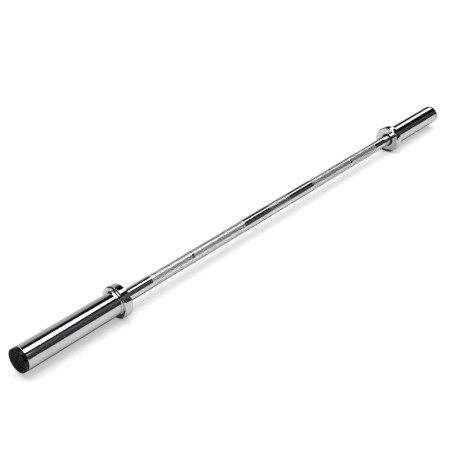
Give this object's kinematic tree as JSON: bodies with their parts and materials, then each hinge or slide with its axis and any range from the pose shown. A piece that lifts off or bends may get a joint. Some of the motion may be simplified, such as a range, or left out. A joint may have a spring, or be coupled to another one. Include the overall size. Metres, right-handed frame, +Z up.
{
  "type": "olympic barbell",
  "caption": "Straight chrome barbell with a knurled shaft, collared sleeves that spin freely on bushes and needle bearings to carry weight plates, and black end caps.",
  "frame": {"origin": "middle of the shaft, on its axis", "axes": "+X along the bar towards the right sleeve, +Z up, +Y away from the lifter"},
  "size_m": [1.524, 0.07, 0.07],
  "materials": {
    "shaft_chrome": "knurled hard chrome",
    "polished_chrome": "mirror chrome plate",
    "bronze": "sintered, oiled",
    "washer_bronze": "turned",
    "bearing_steel": "ground",
    "cage_steel": "pressed",
    "spring_steel": "phosphated",
    "cap_plastic": "fine moulded grid"
  },
  "bodies": {
    "shaft": {"shaft": "shaft_chrome", "left_inner_washer": "washer_bronze", "left_shaft_ring": "spring_steel", "left_outer_washer": "washer_bronze", "right_inner_washer": "washer_bronze", "right_shaft_ring": "spring_steel", "right_outer_washer": "washer_bronze"},
    "left_sleeve": {"left_sleeve_tube": "polished_chrome", "left_collar": "polished_chrome", "left_bush": "bronze", "left_bearing_cup": "bearing_steel", "left_bore_ring": "spring_steel", "left_end_cap": "cap_plastic"},
    "left_needle_set": {"left_bearing_cage": "cage_steel", "left_needles": "bearing_steel"},
    "right_sleeve": {"right_sleeve_tube": "polished_chrome", "right_collar": "polished_chrome", "right_bush": "bronze", "right_bearing_cup": "bearing_steel", "right_bore_ring": "spring_steel", "right_end_cap": "cap_plastic"},
    "right_needle_set": {"right_bearing_cage": "cage_steel", "right_needles": "bearing_steel"}
  },
  "joints": [
    {"name": "left_sleeve_spin", "type": "hinge", "parent": "shaft", "child": "left_sleeve", "pos_m": [-0.636, 0, 0], "axis": [1, 0, 0], "continuous": true},
    {"name": "left_needle_spin", "type": "hinge", "parent": "shaft", "child": "left_needle_set", "pos_m": [-0.7058, 0, 0], "axis": [1, 0, 0], "continuous": true},
    {"name": "right_sleeve_spin", "type": "hinge", "parent": "shaft", "child": "right_sleeve", "pos_m": [0.636, 0, 0], "axis": [1, 0, 0], "continuous": true},
    {"name": "right_needle_spin", "type": "hinge", "parent": "shaft", "child": "right_needle_set", "pos_m": [0.7058, 0, 0], "axis": [1, 0, 0], "continuous": true}
  ],
  "couplings": [
    {"joint": "left_needle_spin", "follows": "left_sleeve_spin", "ratio": 0.54068},
    {"joint": "right_needle_spin", "follows": "right_sleeve_spin", "ratio": 0.54068}
  ]
}
